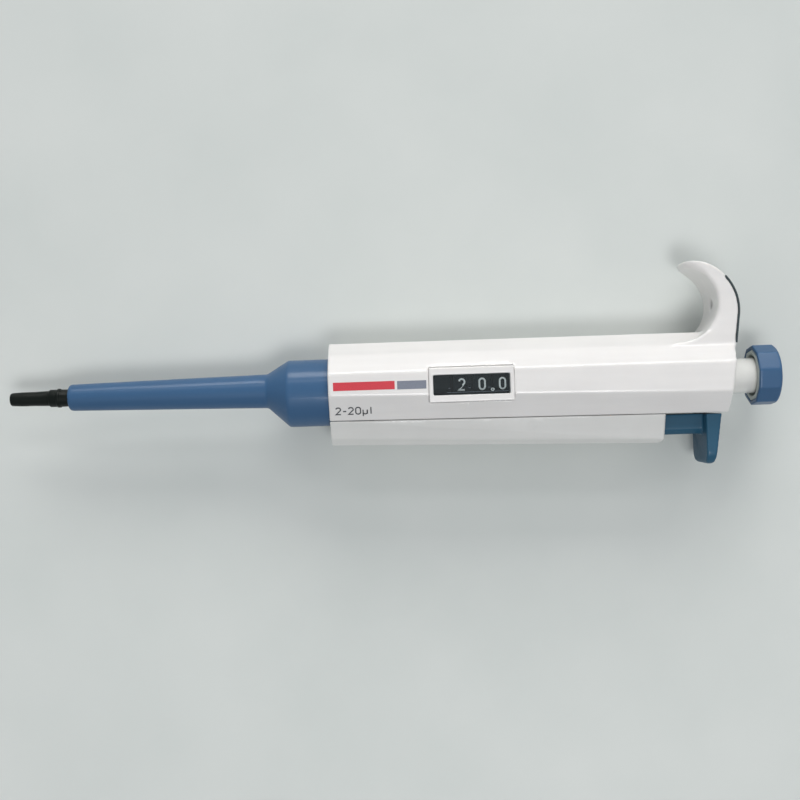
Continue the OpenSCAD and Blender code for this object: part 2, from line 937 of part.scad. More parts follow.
module button_pin() {
    color("gray")
        lay_down()
            button_pin_place() cylinder(r = button_pin_r, h = 9, center = true);
}

module rod_guide() {
    color("silver")
        lay_down()
            difference() {
                translate([-4, 11.6, guide_z]) cube([8, 4.2, guide_h]);
                translate([0, rod_y, guide_z - 1]) cylinder(r = rod_r + run, h = guide_h + 2);
            }
}

module ejector_spring() {
    color("lightsteelblue")
        lay_down()
            translate([0, rod_y, 0]) ring(2.6, 1.7, guide_z + guide_h, arm_z0 - guide_z - guide_h);
}

handle_housing();
ejector_cover();
hook_plate();
window_frame();
window_lens();
counter_frame();
frame_screws();
stem_bush();
upper_bearing();
lower_bearing();
blank_wheel();
tens_wheel();
units_wheel();
tenths_wheel();
carry_plates();
tens_pinion();
units_pinion();
drive_sleeve();
drive_clip();
stop_nut();
blowout_spring();
knob_cap();
knob_ring();
plunger_stem();
push_rod();
stop_collar();
collar_pin();
nozzle_shaft();
coupling_nut();
piston_seal();
seal_ring();
spring_seat();
piston_spring();
piston_head();
piston_rod();
ejector_sleeve();
ejector_rod();
ejector_button();
rod_guide();
ejector_spring();
button_pin();
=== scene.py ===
"""Looks of the adjustable micropipette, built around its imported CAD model.

Metres, in the CAD frame: +X from the nozzle to the knob, +Y towards the finger hook, +Z out of
the volume window. The pipette lies on its back flat, on a plain pale floor.
"""
import json
import math

import bmesh
import bpy
import numpy as np
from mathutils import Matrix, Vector, kdtree
from mathutils.bvhtree import BVHTree

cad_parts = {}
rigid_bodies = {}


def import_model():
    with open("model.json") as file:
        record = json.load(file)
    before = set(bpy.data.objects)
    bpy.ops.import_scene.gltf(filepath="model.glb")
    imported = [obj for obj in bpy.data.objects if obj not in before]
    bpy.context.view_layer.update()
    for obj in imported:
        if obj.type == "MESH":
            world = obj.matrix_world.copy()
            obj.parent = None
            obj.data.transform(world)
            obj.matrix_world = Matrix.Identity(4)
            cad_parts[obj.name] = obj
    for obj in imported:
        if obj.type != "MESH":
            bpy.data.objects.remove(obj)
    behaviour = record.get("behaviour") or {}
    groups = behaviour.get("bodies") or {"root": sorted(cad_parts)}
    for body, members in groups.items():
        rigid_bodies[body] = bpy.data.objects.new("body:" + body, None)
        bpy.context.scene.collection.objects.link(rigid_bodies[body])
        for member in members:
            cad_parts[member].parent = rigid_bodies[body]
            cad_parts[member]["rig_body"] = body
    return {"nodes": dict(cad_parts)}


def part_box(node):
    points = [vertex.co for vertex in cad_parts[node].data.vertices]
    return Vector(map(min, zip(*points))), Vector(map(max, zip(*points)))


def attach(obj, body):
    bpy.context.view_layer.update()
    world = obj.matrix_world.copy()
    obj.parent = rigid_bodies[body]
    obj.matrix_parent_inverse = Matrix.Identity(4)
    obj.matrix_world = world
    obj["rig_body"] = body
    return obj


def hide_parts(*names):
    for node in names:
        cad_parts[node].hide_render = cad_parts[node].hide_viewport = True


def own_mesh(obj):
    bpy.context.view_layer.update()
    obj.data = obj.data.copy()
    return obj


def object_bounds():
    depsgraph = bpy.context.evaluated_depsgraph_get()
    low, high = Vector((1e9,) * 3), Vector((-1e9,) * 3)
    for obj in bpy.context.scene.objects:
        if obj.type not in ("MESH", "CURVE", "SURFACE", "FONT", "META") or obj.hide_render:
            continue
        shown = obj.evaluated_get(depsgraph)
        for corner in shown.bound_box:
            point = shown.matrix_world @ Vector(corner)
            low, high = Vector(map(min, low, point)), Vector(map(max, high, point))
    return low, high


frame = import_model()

CAD_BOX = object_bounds()
MM = 0.001

# The pipette's axis, from the nozzle shaft that is centred on it
NOZZLE_LOW, NOZZLE_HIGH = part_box("nozzle_shaft")
AXIS_Y = (NOZZLE_LOW.y + NOZZLE_HIGH.y) / 2
AXIS_Z = (NOZZLE_LOW.z + NOZZLE_HIGH.z) / 2
TIP_X = NOZZLE_LOW.x


def on_axis(height, side=0.0, front=0.0):
    """A point from its height above the nozzle end, its distance towards the hook and the one
    towards the window, all in millimetres."""
    return Vector((TIP_X + height * MM, AXIS_Y + side * MM, AXIS_Z + front * MM))


def linear(r, g, b):
    """A screen colour from 0 to 255 as the linear colour that shaders take."""
    def one(c):
        c /= 255
        return c / 12.92 if c <= 0.04045 else ((c + 0.055) / 1.055) ** 2.4
    return one(r), one(g), one(b), 1.0


# ---------------------------------------------------------------- materials


class Shader:
    """A material with a Principled surface, and short calls for the nodes that feed it."""

    def __init__(self, name):
        self.material = bpy.data.materials.new(name)
        self.material.use_nodes = True
        self.tree = self.material.node_tree
        self.surface = self.tree.nodes["Principled BSDF"]
        place = self.tree.nodes.new("ShaderNodeTexCoord")
        self.place = self.mapped(place.outputs["Object"], (1000, 1000, 1000))

    def node(self, kind, **settings):
        made = self.tree.nodes.new("ShaderNode" + kind)
        for key, value in settings.items():
            setattr(made, key, value)
        return made

    def link(self, out, socket):
        self.tree.links.new(out, socket)

    def mapped(self, vector, scale, turn=(0, 0, 0)):
        """vector, turned and scaled: the object's own millimetres for a scale of 1000."""
        made = self.node("Mapping")
        made.inputs["Scale"].default_value = scale
        made.inputs["Rotation"].default_value = turn
        self.link(vector, made.inputs["Vector"])
        return made.outputs["Vector"]

    def noise(self, scale, detail=3, rough=0.5, vector=None, distortion=0.0):
        made = self.node("TexNoise")
        made.inputs["Scale"].default_value = scale
        made.inputs["Detail"].default_value = detail
        made.inputs["Roughness"].default_value = rough
        made.inputs["Distortion"].default_value = distortion
        self.link(vector or self.place, made.inputs["Vector"])
        return made.outputs["Fac"]

    def ranged(self, value, low, high, to_low=0.0, to_high=1.0):
        """value from low..high to to_low..to_high, held at both ends."""
        made = self.node("MapRange")
        for key, number in (("From Min", low), ("From Max", high),
                            ("To Min", to_low), ("To Max", to_high)):
            made.inputs[key].default_value = number
        self.link(value, made.inputs["Value"])
        return made.outputs["Result"]

    def sum(self, a, b, share=1.0):
        """a + b * share."""
        made = self.node("Math", operation="MULTIPLY_ADD")
        self.link(b, made.inputs[0])
        made.inputs[1].default_value = share
        self.link(a, made.inputs[2])
        return made.outputs[0]

    def times(self, a, b):
        made = self.node("Math", operation="MULTIPLY")
        self.link(a, made.inputs[0])
        if isinstance(b, (int, float)):
            made.inputs[1].default_value = b
        else:
            self.link(b, made.inputs[1])
        return made.outputs[0]

    def blended(self, share, a, b):
        """Colour a where share is 0 and b where it is 1. Each is a colour or a socket."""
        made = self.node("Mix", data_type="RGBA")
        colours = [s for s in made.inputs if s.type == "RGBA"]
        for socket, value in zip(colours, (a, b)):
            if isinstance(value, tuple):
                socket.default_value = value
            else:
                self.link(value, socket)
        self.link(share, made.inputs[0])
        return [s for s in made.outputs if s.type == "RGBA"][0]

    def lines(self, along, across, turn, thin):
        """Fine scratches: noise stretched along one direction, cut to a thin band."""
        vector = self.mapped(self.place, (along, across, across), turn)
        made = self.noise(1.0, 2, 0.4, vector, 0.25)
        middle = self.node("Math", operation="SUBTRACT")
        self.link(made, middle.inputs[0])
        middle.inputs[1].default_value = 0.5
        size = self.node("Math", operation="ABSOLUTE")
        self.link(middle.outputs[0], size.inputs[0])
        return self.ranged(size.outputs[0], thin, 0.0)

    def bumped(self, height, distance, strength=1.0, before=None):
        made = self.node("Bump")
        made.inputs["Strength"].default_value = strength
        made.inputs["Distance"].default_value = distance
        self.link(height, made.inputs["Height"])
        if before is not None:
            self.link(before, made.inputs["Normal"])
        return made.outputs["Normal"]


def shade(colour, factor):
    """The same colour, lighter or darker."""
    return tuple(min(1.0, c * factor) for c in colour[:3]) + (1.0,)


def moulded(name, colour, rough, peel=0.25, tone=0.06, scratch=0.5, coat=0.0, glow=0.0,
            edge=1.12, mirror=0.5):
    """Injection-moulded plastic: slow tone drift, flow marks, a fine eroded grain, handling
    scratches, duller smudges and slightly worn edges."""
    s = Shader(name)
    drift = s.noise(0.045, 4, 0.55)
    flow = s.noise(1.0, 3, 0.5, s.mapped(s.place, (0.03, 0.35, 0.35)))
    drift = s.sum(s.times(drift, 0.6), flow, 0.4)
    darker, lighter = shade(colour, 1 - tone), shade(colour, 1 + tone / 2)
    base = s.blended(s.ranged(drift, 0.3, 0.7), darker, lighter)
    specks = s.ranged(s.noise(2.6, 2, 0.7), 0.70, 0.78)
    base = s.blended(s.times(specks, 0.25), base, shade(colour, 0.72))
    edges = s.ranged(s.node("NewGeometry").outputs["Pointiness"], 0.52, 0.60)
    worn = s.times(edges, s.ranged(s.noise(0.8, 4), 0.3, 0.7))
    base = s.blended(s.times(worn, 0.6), base, shade(colour, edge))
    s.link(base, s.surface.inputs["Base Color"])
    long_marks = s.lines(0.05, 1.1, (0.3, 0.12, 0.35), 0.006)
    cross_marks = s.lines(0.06, 0.9, (0.9, 0.5, 1.25), 0.005)
    patches = s.ranged(s.noise(0.12, 3), 0.48, 0.62)
    marks = s.times(s.sum(long_marks, cross_marks, 0.8), patches)
    smudge = s.ranged(s.noise(0.16, 6, 0.62, distortion=1.2), 0.45, 0.72)
    grain = s.noise(5.5, 3, 0.6)
    gloss = s.sum(s.ranged(grain, 0.2, 0.8, rough - 0.04, rough + 0.04), smudge, 0.11)
    gloss = s.sum(gloss, marks, 0.22 * scratch)
    s.link(gloss, s.surface.inputs["Roughness"])
    soft = s.bumped(s.noise(0.35, 2), 0.00006, 0.35)
    fine = s.bumped(grain, 0.00002, peel, soft)
    s.link(s.bumped(marks, -0.000012, 0.6 * scratch, fine), s.surface.inputs["Normal"])
    s.surface.inputs["IOR"].default_value = 1.5
    s.surface.inputs["Specular IOR Level"].default_value = mirror
    s.surface.inputs["Coat Weight"].default_value = coat
    s.surface.inputs["Coat Roughness"].default_value = 0.12
    if glow:
        s.surface.inputs["Subsurface Weight"].default_value = glow
        s.surface.inputs["Subsurface Radius"].default_value = (1.0, 0.9, 0.8)
        s.surface.inputs["Subsurface Scale"].default_value = 0.0012
    return s.material


def metal(name, colour, rough, rings=0.0, lengthwise=0.0, tarnish=0.1):
    """Machined metal: turning rings or drawn lines, dulled patches and fine scratches."""
    s = Shader(name)
    patches = s.ranged(s.noise(0.25, 5, 0.6), 0.4, 0.7)
    spots = s.ranged(s.noise(1.6, 3), 0.6, 0.72)
    base = s.blended(s.times(patches, tarnish * 4), colour, shade(colour, 0.78))
    base = s.blended(s.times(spots, tarnish * 2), base, shade(colour, 0.55))
    s.link(base, s.surface.inputs["Base Color"])
    s.surface.inputs["Metallic"].default_value = 1.0
    drawn = s.noise(1.0, 3, 0.6, s.mapped(s.place, (0.06, 9, 9)))
    turned = s.noise(1.0, 2, 0.5, s.mapped(s.place, (11, 0.12, 0.12)))
    texture = s.sum(s.times(drawn, lengthwise), turned, rings)
    gloss = s.sum(s.ranged(texture, 0, 1, rough - 0.05, rough + 0.1), patches, 0.1)
    s.link(gloss, s.surface.inputs["Roughness"])
    marks = s.lines(0.1, 2.2, (0.4, 0.2, 0.5), 0.006)
    fine = s.bumped(texture, 0.00001, 0.6)
    s.link(s.bumped(marks, -0.00001, 0.5, fine), s.surface.inputs["Normal"])
    return s.material


def clear(name):
    """Clear acrylic: see-through, with a faint gloss that smudges and hairlines break up."""
    s = Shader(name)
    s.tree.nodes.remove(s.surface)
    through = s.node("BsdfTransparent")
    through.inputs["Color"].default_value = (0.93, 0.955, 0.955, 1)
    gloss = s.node("BsdfAnisotropic")
    gloss.inputs["Color"].default_value = (0.9, 0.95, 0.97, 1)
    smudge = s.ranged(s.noise(0.3, 5, 0.6, distortion=0.8), 0.4, 0.7, 0.03, 0.1)
    s.link(s.sum(smudge, s.lines(0.1, 1.5, (0, 0, 0.4), 0.006), 0.2), gloss.inputs["Roughness"])
    mirror = s.node("Fresnel")
    mirror.inputs["IOR"].default_value = 1.49
    mix = s.node("MixShader")
    s.link(mirror.outputs[0], mix.inputs[0])
    s.link(through.outputs[0], mix.inputs[1])
    s.link(gloss.outputs[0], mix.inputs[2])
    s.link(mix.outputs[0], s.tree.nodes["Material Output"].inputs["Surface"])
    return s.material


def ink(name, colour, cover=0.9):
    """Pad-printed ink: thin, slightly uneven, with pinholes."""
    s = Shader(name)
    uneven = s.ranged(s.noise(3.5, 4, 0.6), 0.35, 0.65)
    base = s.blended(uneven, shade(colour, 0.86), shade(colour, 1.05))
    pin = s.ranged(s.noise(9, 2), 0.72, 0.8)
    base = s.blended(s.times(pin, 1 - cover), base, shade(colour, 1.7))
    s.link(base, s.surface.inputs["Base Color"])
    s.link(s.ranged(s.noise(6, 3), 0.2, 0.8, 0.35, 0.55), s.surface.inputs["Roughness"])
    s.link(s.bumped(uneven, 0.00001, 0.4), s.surface.inputs["Normal"])
    return s.material


WHITE = moulded("white_plastic", linear(228, 226, 224), 0.32, coat=0.4, glow=0.15, edge=1.03)
COVER_WHITE = moulded("grey_white_plastic", linear(217, 217, 214), 0.36, coat=0.3, glow=0.12,
                      edge=1.03)
STEM_WHITE = moulded("polished_white_plastic", linear(224, 224, 220), 0.15, peel=0.08, coat=1.0,
                     glow=0.1)
BLUE = moulded("blue_plastic", linear(54, 91, 128), 0.42, tone=0.05, coat=0.25, edge=1.2, mirror=0.25)
# A darker copy of the blue plastic for the ejector button: painted shade, standing for the shade that
# falls on the button.
BLUE_PAINTED_SHADE = moulded("blue_plastic_painted_shade", linear(36, 82, 107), 0.44, tone=0.05, coat=0.1, edge=1.2,
                    mirror=0.25)
BLACK = moulded("black_plastic", linear(9, 17, 13), 0.42, peel=0.15, tone=0.2, edge=1.8, mirror=0.2)
PLATE = moulded("dark_plate", linear(48, 62, 66), 0.42, tone=0.1)
GREY = moulded("light_grey_plastic", linear(176, 184, 180), 0.42, tone=0.06)
ACETAL = moulded("bearing_plastic", linear(222, 214, 190), 0.42, glow=0.1)
PTFE = moulded("seal_plastic", linear(232, 232, 228), 0.5, glow=0.15)
RUBBER = moulded("seal_rubber", linear(24, 24, 25), 0.6, tone=0.15)
WHEEL = moulded("wheel_black", linear(30, 37, 39), 0.72, peel=0.1, tone=0.12, scratch=0.1, edge=1.3,
                mirror=0.12)
STEEL = metal("steel", linear(196, 198, 200), 0.24, rings=0.3, lengthwise=0.6)
WIRE = metal("spring_steel", linear(168, 170, 174), 0.28, lengthwise=0.7)
BRASS = metal("brass", linear(214, 178, 108), 0.26, rings=0.8, tarnish=0.14)
LENS = clear("clear_lens")
WHITE_INK = ink("white_ink", linear(250, 252, 252), 0.97)
RED_INK = ink("red_ink", linear(206, 52, 66))
GREY_INK = ink("grey_ink", linear(122, 128, 142))
DARK_INK = ink("dark_ink", linear(76, 79, 82))

# ---------------------------------------------------------------- mesh helpers

# Where the parting line runs, in millimetres from the axis towards the ejector
PARTING_NEAR, PARTING_FAR = 8.0, 11.4
# The bend that the finger lies in: its centre from the nozzle end and from the axis
FINGER_CENTRE = (206.5, 22.3)
FINGER_RADIUS = 11.55
WINDOW_LOW, WINDOW_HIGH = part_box("window_frame")


def near_window(point, gap):
    """Whether point lies within gap millimetres of the window frame's box."""
    return all(WINDOW_LOW[k] - gap * MM < point[k] < WINDOW_HIGH[k] + gap * MM for k in range(3))


def add_piece(name, mesh, body, material):
    """A new object for mesh that rides on body."""
    piece = bpy.data.objects.new(name, mesh)
    bpy.context.scene.collection.objects.link(piece)
    mesh.materials.clear()
    mesh.materials.append(material)
    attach(piece, body)
    return piece


def smooth_faces(mesh):
    """Smooth shading with every edge over 32 degrees left sharp."""
    for face in mesh.polygons:
        face.use_smooth = True
    mesh.set_sharp_from_angle(angle=math.radians(32))


def dress(node, material, bevel=0.0):
    """Gives a CAD node its material, smooth shading and, if asked, softened edges."""
    piece = frame["nodes"][node]
    piece.data.materials.clear()
    piece.data.materials.append(material)
    smooth_faces(piece.data)
    if bevel:
        weld = piece.modifiers.new("Weld", "WELD")
        weld.merge_threshold = 1e-6
        soft = piece.modifiers.new("Bevel", "BEVEL")
        soft.width = bevel * MM
        soft.segments = 3
        soft.limit_method = "ANGLE"
        soft.angle_limit = math.radians(38)
        soft.harden_normals = True
    return piece


def welded(mesh):
    """A bmesh of mesh with its split vertices joined."""
    made = bmesh.new()
    made.from_mesh(mesh)
    bmesh.ops.remove_doubles(made, verts=made.verts, dist=1e-6)
    return made


def sharp_points(made, angle, spacing):
    """Points along every edge that is sharper than angle."""
    points = []
    for edge in made.edges:
        if len(edge.link_faces) == 2 and edge.calc_face_angle(0.0) > math.radians(angle):
            a, b = (v.co for v in edge.verts)
            count = max(1, int((b - a).length / spacing))
            points += [a.lerp(b, i / count) for i in range(count + 1)]
    return points


def relaxed(mesh, passes, weights):
    """Moves each vertex towards the mean of its neighbours, by its weight, again and again."""
    count = len(mesh.vertices)
    points = np.empty(count * 3)
    mesh.vertices.foreach_get("co", points)
    points = points.reshape(-1, 3)
    ends = np.empty(len(mesh.edges) * 2, dtype=np.int64)
    mesh.edges.foreach_get("vertices", ends)
    a, b = ends[0::2], ends[1::2]
    degree = np.maximum(np.bincount(ends, minlength=count), 1)[:, None]
    for _ in range(passes):
        mean = np.empty_like(points)
        for k in range(3):
            mean[:, k] = (np.bincount(a, points[b, k], count) + np.bincount(b, points[a, k], count))
        points += weights[:, None] * (mean / degree - points)
    mesh.vertices.foreach_set("co", points.ravel())


def softened(node, name, material, voxel, passes, reach, faces, widen=None):
    """A moulded copy of a CAD node: every edge and corner gets a small radius, and the flats
    stay where the CAD has them. reach is how far a rounding goes from its edge, in mm. widen
    takes a point on an edge and returns how many times reach its rounding goes."""
    source = frame["nodes"][node]
    cad = welded(source.data)
    tree = BVHTree.FromBMesh(cad)
    edges = sharp_points(cad, 12, voxel * MM)
    near = kdtree.KDTree(len(edges))
    for i, point in enumerate(edges):
        near.insert(point, i)
    near.balance()
    cad.free()

    work = bpy.data.objects.new("work", source.data.copy())
    bpy.context.scene.collection.objects.link(work)
    weld = work.modifiers.new("Weld", "WELD")
    weld.merge_threshold = 1e-6
    remesh = work.modifiers.new("Remesh", "REMESH")
    remesh.mode = "VOXEL"
    remesh.voxel_size = voxel * MM
    made = work.evaluated_get(bpy.context.evaluated_depsgraph_get())
    mesh = bpy.data.meshes.new_from_object(made)
    bpy.data.objects.remove(work)

    # How round each vertex may get: 1 on an edge, fading from 0.4 of its reach to 0 at its end
    reach *= MM
    fade = 0.4
    size = np.ones(len(mesh.vertices))
    loose = np.zeros(len(mesh.vertices))
    for i, vertex in enumerate(mesh.vertices):
        edge, _, away = near.find(vertex.co)
        size[i] = widen(edge) if widen else 1.0
        share = min(1.0, max(0.0, 1.0 - (away / (reach * size[i]) - fade) / (1 - fade)))
        loose[i] = share * share * (3 - 2 * share)
    relaxed(mesh, passes, 0.5 * np.minimum(size, 1.0))
    for step in range(1, int(size.max() ** 2 + 0.5)):
        relaxed(mesh, passes, 0.5 * loose * (size ** 2 > step))
    for i, vertex in enumerate(mesh.vertices):
        if loose[i] < 1.0:
            exact = tree.find_nearest(vertex.co)[0]
            vertex.co = exact.lerp(vertex.co, loose[i])
    mesh.name = name
    piece = add_piece(name, mesh, source["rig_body"], material)
    for face in mesh.polygons:
        face.use_smooth = True
    thin = piece.modifiers.new("Decimate", "DECIMATE")
    thin.ratio = min(1.0, faces / (2 * len(mesh.polygons)))
    normals = piece.modifiers.new("Normals", "WEIGHTED_NORMAL")
    normals.weight = 80
    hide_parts(node)
    return piece


def closed_mesh(name, verts, faces):
    """A mesh of verts and faces whose normals all point outwards."""
    mesh = bpy.data.meshes.new(name)
    mesh.from_pydata([tuple(v) for v in verts], [], faces)
    mesh.validate()
    mesh.update()
    made = bmesh.new()
    made.from_mesh(mesh)
    bmesh.ops.recalc_face_normals(made, faces=made.faces)
    made.to_mesh(mesh)
    made.free()
    return mesh


def swept(rings, closed=False):
    """Vertices and faces of a tube through rings of points, capped, or closed on itself."""
    count, n = len(rings), len(rings[0])
    faces = []
    for i in range(count if closed else count - 1):
        first, second = i * n, (i + 1) % count * n
        for k in range(n):
            m = (k + 1) % n
            faces.append((first + k, first + m, second + m, second + k))
    if not closed:
        faces.append(tuple(range(n)))
        faces.append(tuple(reversed(range((count - 1) * n, count * n))))
    return [point for ring in rings for point in ring], faces


def joined(parts):
    """One list of vertices and one of faces from several such pairs."""
    verts, faces = [], []
    for points, sides in parts:
        faces += [tuple(k + len(verts) for k in side) for side in sides]
        verts += points
    return verts, faces


def coil(node, mean_r, wire_r, turns):
    """A compression spring in place of its plain CAD ring. Its end turns lie closed."""
    low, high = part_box(node)
    centre_y, centre_z = (low.y + high.y) / 2, (low.z + high.z) / 2
    x0, x1 = low.x + wire_r * MM, high.x - wire_r * MM
    steps_per_turn, sides, end_turns = 28, 10, 1.1
    steps = int(turns * steps_per_turn)
    end_rise = end_turns * 2.1 * wire_r * MM
    path, radials = [], []
    for i in range(steps + 1):
        t = i / steps_per_turn
        if t < end_turns:
            x = x0 + end_rise * t / end_turns
        elif t > turns - end_turns:
            x = x1 - end_rise * (turns - t) / end_turns
        else:
            share = (t - end_turns) / (turns - 2 * end_turns)
            x = x0 + end_rise + (x1 - x0 - 2 * end_rise) * share
        angle = 2 * math.pi * t
        radial = Vector((0, math.cos(angle), math.sin(angle)))
        radials.append(radial)
        path.append(Vector((x, centre_y, centre_z)) + radial * mean_r * MM)

    def ring(i):
        ahead = path[min(i + 1, steps)] - path[max(i - 1, 0)]
        side = radials[i]
        up = ahead.normalized().cross(side).normalized()
        return [path[i] + wire_r * MM * (side * math.cos(a) + up * math.sin(a))
                for a in (2 * math.pi * k / sides for k in range(sides))]

    mesh = closed_mesh(node + "_coil", *swept([ring(i) for i in range(steps + 1)]))
    for face in mesh.polygons:
        face.use_smooth = len(face.vertices) == 4
    piece = add_piece(node + "_coil", mesh, frame["nodes"][node]["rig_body"], WIRE)
    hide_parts(node)
    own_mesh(piece)


# ---------------------------------------------------------------- lettering


def arc(cx, cy, rx, ry, start, end, count=10):
    """Points of a part of an ellipse, with angles in degrees."""
    angles = [math.radians(start + (end - start) * i / count) for i in range(count + 1)]
    return [(cx + rx * math.cos(a), cy + ry * math.sin(a)) for a in angles]


# Each sign as strokes in a box one wide and one high; "u" is the unit's mu
SIGNS = {
    "0": [arc(0.5, 0.72, 0.42, 0.25, 0, 180) + arc(0.5, 0.28, 0.42, 0.25, 180, 360)
          + [(0.92, 0.72)]],
    "1": [[(0.25, 0.78), (0.55, 0.97), (0.55, 0.03)]],
    "2": [arc(0.5, 0.72, 0.42, 0.25, 165, -25) + [(0.08, 0.03), (0.92, 0.03)]],
    "3": [arc(0.48, 0.75, 0.38, 0.22, 150, -90) + arc(0.48, 0.28, 0.44, 0.25, 90, -150)],
    "4": [[(0.72, 0.03), (0.72, 0.97), (0.06, 0.30), (0.94, 0.30)]],
    "5": [[(0.88, 0.97), (0.16, 0.97), (0.12, 0.55)] + arc(0.48, 0.32, 0.44, 0.29, 110, -150)],
    "6": [arc(0.55, 0.62, 0.46, 0.35, 80, 180) + arc(0.5, 0.29, 0.42, 0.26, 180, 540, 20)],
    "7": [[(0.06, 0.97), (0.92, 0.97), (0.38, 0.03)]],
    "8": [arc(0.5, 0.75, 0.36, 0.22, 0, 360, 18), arc(0.5, 0.28, 0.42, 0.25, 90, 450, 20)],
    "9": [arc(0.45, 0.38, 0.46, 0.35, -100, 0) + arc(0.5, 0.71, 0.42, 0.26, 0, 360, 20)],
    "-": [[(0.1, 0.45), (0.9, 0.45)]],
    "u": [[(0.1, -0.28), (0.1, 0.62)], arc(0.48, 0.28, 0.38, 0.25, 180, 330) + [(0.84, 0.62)],
          [(0.84, 0.62), (0.84, 0.03)]],
    "l": [[(0.5, 0.97), (0.5, 0.03)]],
}


def ribbon(points, width):
    """Pairs of points on the two edges of a flat stroke along points."""
    pts = [Vector(p) for p in points]
    closed = (pts[0] - pts[-1]).length < 1e-6
    edges = []
    for i, p in enumerate(pts):
        before = pts[i] - pts[i - 1] if i else (pts[-1] - pts[-2] if closed else pts[1] - pts[0])
        last = i == len(pts) - 1
        after = pts[i + 1] - p if not last else (pts[1] - pts[0] if closed else p - pts[-2])
        a, b = before.normalized(), after.normalized()
        middle = (a + b).normalized()
        normal = Vector((-middle.y, middle.x))
        reach = width / 2 / max(0.45, normal.dot(Vector((-a.y, a.x))))
        edges.append((p + normal * reach, p - normal * reach))
    return edges


def stroke(points, wide, top, bottom, place):
    """Vertices and faces of one stroke along points. place(u, v, w) gives the point for u along
    the surface, v across it and w off it, in millimetres."""
    return swept([[place(a.x, a.y, top), place(b.x, b.y, top),
                   place(b.x, b.y, bottom), place(a.x, a.y, bottom)]
                  for a, b in ribbon(points, wide)])


def write(text, width, height, gap, wide, top, bottom, place):
    """Vertices and faces of a line of signs, in strokes that are wide across."""
    strokes = []
    left = 0.0
    for sign in text:
        sign_width = width * {"l": 0.45, "-": 0.7}.get(sign, 1.0)
        for line in SIGNS[sign]:
            points = [(left + x * sign_width, y * height) for x, y in line]
            strokes.append(stroke(points, wide, top, bottom, place))
        left += sign_width + gap
    return joined(strokes)


def printed(name, body, material, parts):
    """A thin printed piece of several marks, each a pair of vertices and faces."""
    add_piece(name, closed_mesh(name, *joined(parts)), body, material)


def wheel_digits(node, shown, rides):
    """Ten digits round a number wheel, with the one shown facing the window. A wheel that
    turns backwards about +X counts down, so lower digits follow from the ejector side."""
    low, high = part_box(node)
    radius = (high.z - low.z) / 2 / MM + 0.01
    middle = ((low.x + high.x) / 2 - TIP_X) / MM
    wide, tall = 2.0, 3.5
    digits = []
    for step in range(10):
        digit = str((shown - step) % 10)
        turn = math.radians(36 * step)

        def place(u, v, w, turn=turn):
            angle = (v - tall / 2) / radius - turn
            reach = radius + w
            return on_axis(middle - wide / 2 + u, reach * math.sin(angle), reach * math.cos(angle))

        digits.append(write(digit, wide, tall, 0, 0.52, 0.04, 0, place))
    printed(node + "_digits", rides, WHITE_INK, digits)


# ---------------------------------------------------------------- the pieces


def dress_cad_nodes():
    """Materials of the CAD nodes that are shown as they are."""
    plan = {
        BLACK: [("nozzle_shaft", 0.12), ("coupling_nut", 0.1)],
        PLATE: [("hook_plate", 0.2)],
        WHITE: [("stem_bush", 0.25)],
        STEM_WHITE: [("plunger_stem", 0.2)],
        GREY: [("knob_ring", 0.25), ("counter_frame", 0.0), ("rod_guide", 0.2)],
        ACETAL: [("upper_bearing", 0.15), ("lower_bearing", 0.15), ("tens_pinion", 0.0),
                 ("units_pinion", 0.0), ("stop_nut", 0.2)],
        WHEEL: [("blank_wheel", 0.15), ("tens_wheel", 0.0), ("units_wheel", 0.0),
                ("tenths_wheel", 0.15), ("carry_plates", 0.0)],
        BRASS: [("drive_sleeve", 0.0)],
        STEEL: [("frame_screws", 0.0), ("drive_clip", 0.1),
                ("push_rod", 0.1), ("stop_collar", 0.2), ("collar_pin", 0.1),
                ("spring_seat", 0.15), ("piston_rod", 0.1), ("ejector_rod", 0.1),
                ("button_pin", 0.1)],
        PTFE: [("piston_seal", 0.1), ("piston_head", 0.2)],
        RUBBER: [("seal_ring", 0.0)],
        LENS: [("window_lens", 0.0)],
    }
    for material, nodes in plan.items():
        for node, bevel in nodes:
            dress(node, material, bevel)


def housing_roundness(point):
    """Crisp along the parting line and round the window, well rounded where the finger lies."""
    height, side = (point.x - TIP_X) / MM, (point.y - AXIS_Y) / MM
    if PARTING_NEAR < -side < PARTING_FAR:
        return 0.45
    if near_window(point, 0.6):
        return 0.2
    if side > 14.0:
        finger = abs(math.dist((height, side), FINGER_CENTRE) - FINGER_RADIUS)
        return 2.2 if finger < 1.5 else 0.8
    return 1.0


def cover_roundness(point):
    """Crisp along the parting line."""
    return 0.45 if (AXIS_Y - point.y) / MM < PARTING_FAR else 1.0


def button_roundness(point):
    """Crisp along the side that slides against the handle."""
    return 0.4 if (AXIS_Y - point.y) / MM < 12.2 else 1.0


def build_shells():
    """The moulded outer parts, with rounded edges."""
    softened("handle_housing", "handle_shell", WHITE,
             0.36, 6, 0.9, 70000, housing_roundness)
    softened("ejector_cover", "ejector_cover_shell", COVER_WHITE,
             0.36, 5, 0.8, 26000, cover_roundness)
    # The ejector button takes the darker blue, which is painted shade.
    softened("ejector_button", "ejector_button_shell", BLUE_PAINTED_SHADE,
             0.25, 8, 1.0, 16000, button_roundness)
    softened("ejector_sleeve", "ejector_sleeve_shell", BLUE, 0.32, 6, 0.8, 40000)
    softened("knob_cap", "knob_shell", BLUE, 0.22, 7, 0.7, 18000)
    softened("window_frame", "window_frame_shell", WHITE, 0.2, 4, 0.5, 14000)


def build_springs():
    coil("piston_spring", 4.25, 0.5, 9.1)
    coil("blowout_spring", 6.1, 0.4, 6.1)
    coil("ejector_spring", 2.15, 0.4, 14.1)


def build_counter_marks():
    wheel_digits("tens_wheel", 2, "tens_counter")
    wheel_digits("units_wheel", 0, "units_counter")
    wheel_digits("tenths_wheel", 0, "volume_drive")


